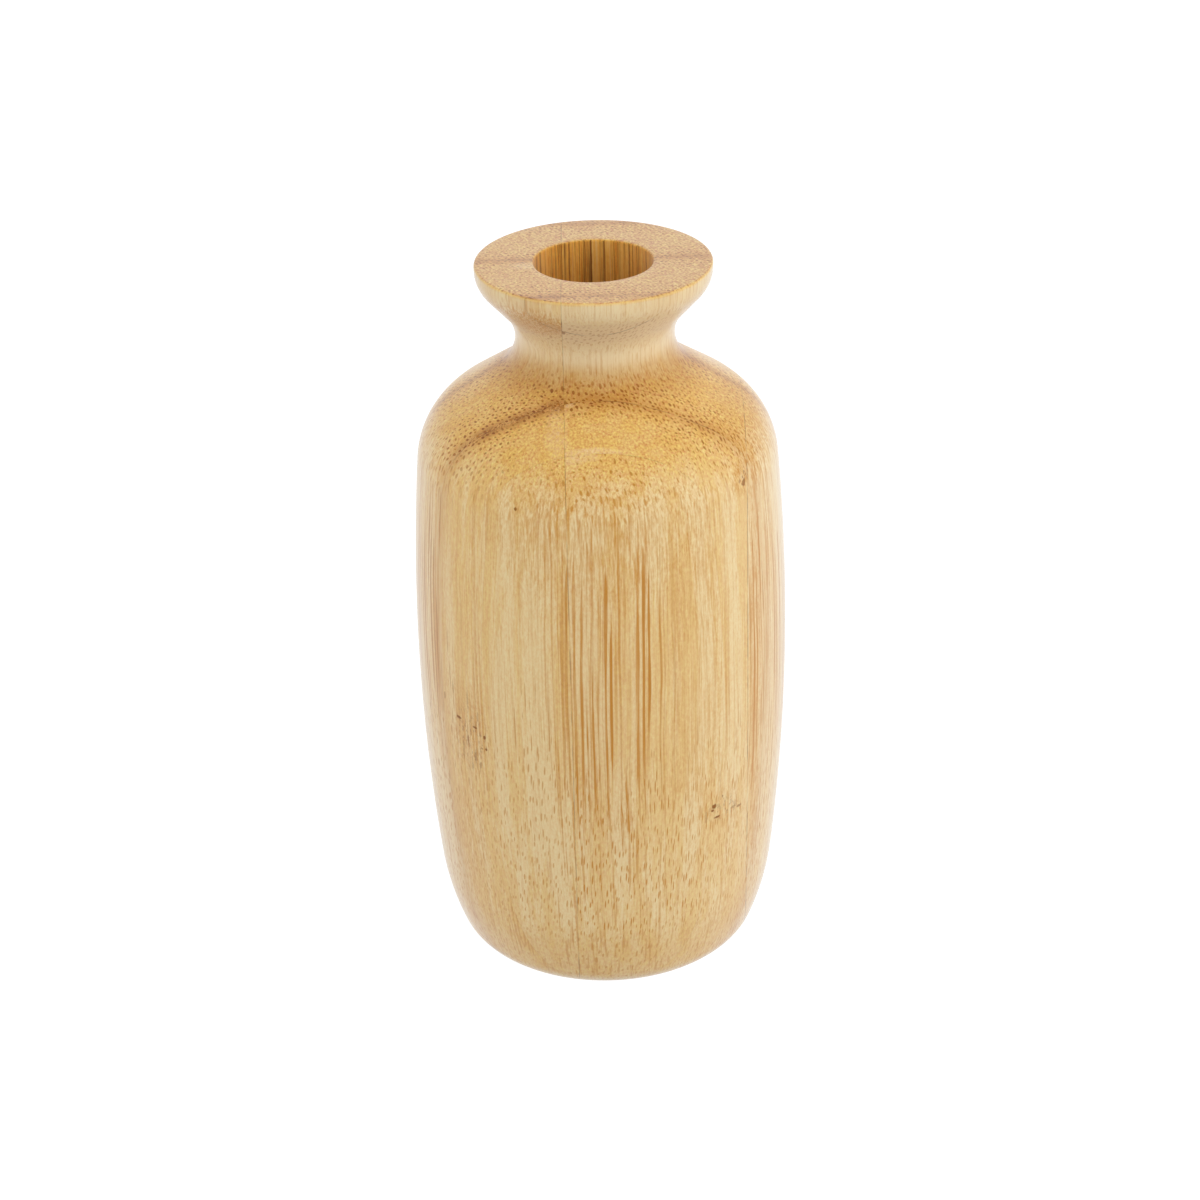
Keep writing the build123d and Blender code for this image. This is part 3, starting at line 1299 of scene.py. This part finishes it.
def visible_marks() -> dict[str, tuple[Mark, ...]]:
    """The scars of old sheaths, stains and smears of dust that the photograph shows.

    Returns:
        The marks by the strips' names.
    """
    stain, torn, dust, top = MarkTone.STAIN, MarkTone.TORN, MarkTone.DUST, MarkPlane.TOP
    left_scar = (
        Mark(-22.5, 51.0, 7.0, 16.0, 0.4, stain), Mark(-22.3, 30.0, 5.0, 40.0, 0.3, stain),
        Mark(-21.6, 48.5, 5.5, 13.0, 0.45, torn),
        Mark(-23.6, 50.9, 0.9, 0.6), Mark(-20.9, 50.4, 0.8, 0.5), Mark(-19.4, 49.2, 0.5, 0.8),
        Mark(-19.2, 47.0, 0.4, 0.6), Mark(-19.9, 46.9, 0.4, 0.4, 0.7), Mark(-25.9, 53.4, 0.3, 1.6, 0.5),
        Mark(-21.0, 45.0, 0.6, 2.4, 0.5), Mark(-23.0, 45.0, 0.4, 4.0, 0.3), Mark(-20.4, 52.6, 0.3, 2.2, 0.4),
        Mark(-22.0, 55.5, 0.3, 3.0, 0.35), Mark(-20.2, 43.6, 0.4, 1.6, 0.5), Mark(-22.2, 47.6, 0.3, 2.6, 0.4),
        Mark(-24.4, 56.0, 0.3, 2.6, 0.35), Mark(-21.6, 42.6, 0.3, 2.0, 0.4),
    )
    right_scar = (
        Mark(20.0, 34.0, 7.0, 9.0, 0.2, stain), Mark(19.4, 34.6, 6.0, 5.0, 0.4, torn),
        Mark(17.8, 35.6, 1.0, 1.1), Mark(17.5, 34.9, 0.6, 0.6), Mark(18.2, 33.3, 1.1, 0.5),
        Mark(21.0, 33.8, 1.0, 0.6, 0.5), Mark(22.0, 33.4, 0.8, 0.6, 0.7), Mark(19.2, 37.0, 0.3, 0.5, 0.7),
        Mark(16.4, 34.0, 0.3, 3.0, 0.5),
    )
    shoulder_knot = (Mark(22.4, 92.0, 3.0, 6.0, 0.6, stain), Mark(22.7, 91.6, 1.3, 3.6, 0.7, torn),
                     Mark(22.9, 91.0, 0.6, 1.2, 0.8))
    lip_stain = (Mark(-10.5, 117.2, 14.0, 6.0, 0.8, stain),)
    edge_band = (Mark(24.7, 55.0, 1.7, 90.0, 0.6, stain),)
    low_honey = (Mark(-2.0, 87.0, 34.0, 22.0, 0.4, stain),)
    right_honey = (Mark(22.0, 96.0, 12.0, 14.0, 0.45, stain),)
    return {
        "left_front_strip_3": left_scar + (Mark(-6.4, -20.0, 3.6, 8.5, 0.5, dust, top),),
        "left_front_strip_4": left_scar + low_honey + (Mark(-13.0, 91.0, 0.5, 0.6, 0.9),),
        "left_front_strip_1": (Mark(-10.9, -2.0, 4.4, 3.4, 0.7, dust, top),),
        "middle_front_strip_1": right_honey,
        "middle_front_strip_2": right_honey + (Mark(-4.9, -15.4, 0.7, 1.0, 0.8, plane=top),),
        "left_front_strip_2": lip_stain,
        "rim_left_front_strip_3": lip_stain,
        "middle_front_strip_3": right_scar + shoulder_knot + (
            Mark(-1.0, -23.5, 10.0, 1.1, 0.85, dust, top), Mark(-4.2, -16.0, 1.6, 0.8, 0.7, dust, top),
            Mark(-4.9, -20.0, 0.7, 8.0, 0.3, dust, top),
        ),
        "middle_front_strip_4": right_scar + low_honey + (
            Mark(-3.0, -24.4, 7.0, 1.2, 0.7, dust, top), Mark(15.5, 62.0, 8.0, 76.0, 0.3, stain),
        ),
        "right_front_strip_1": edge_band + right_honey,
        "right_front_strip_2": edge_band + right_honey,
        "right_front_strip_3": edge_band,
    }


def main() -> None:
    """Builds the vase, its studio and its camera."""
    logging.basicConfig(level=logging.INFO, format="%(message)s")
    bpy.context.view_layer.update()
    cad_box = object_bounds()
    low, high = cad_box
    mouth = next(m for m in frame["record"]["mounts"] if m["name"] == "stem_bore")
    outline = TurnedOutline(
        height=high.z,
        belly_radius=(high.y - low.y) / 2,
        bore_radius=mouth["dims"]["r_mm"] * MM,
        bore_depth=mouth["dims"]["length_mm"] * MM + TurnedOutline.edge_round,
    )
    vase = GluedBlock(outline, BambooFinish(), grains=strip_grains())
    for piece in vase.build():
        log.info("%s: %d faces", piece.name, len(piece.data.polygons))
    aim = Vector((0.0, 0.0, outline.height / 2))
    PhotoCamera(aim_height=aim.z).build()
    lights = (
        Softbox("right_softbox", (0.95, -0.3, 0.4), 0.8, 5.0),
        Softbox("left_softbox", (-0.95, -0.3, 0.4), 0.8, 2.8),
        Softbox("front_softbox", (0.3, -0.85, 0.8), 0.8, 2.0),
        Softbox("back_softbox", (0.0, 1.2, 0.5), 1.0, 2.0),
    )
    Studio(lights).build(aim)


if __name__ == "__main__":
    main()
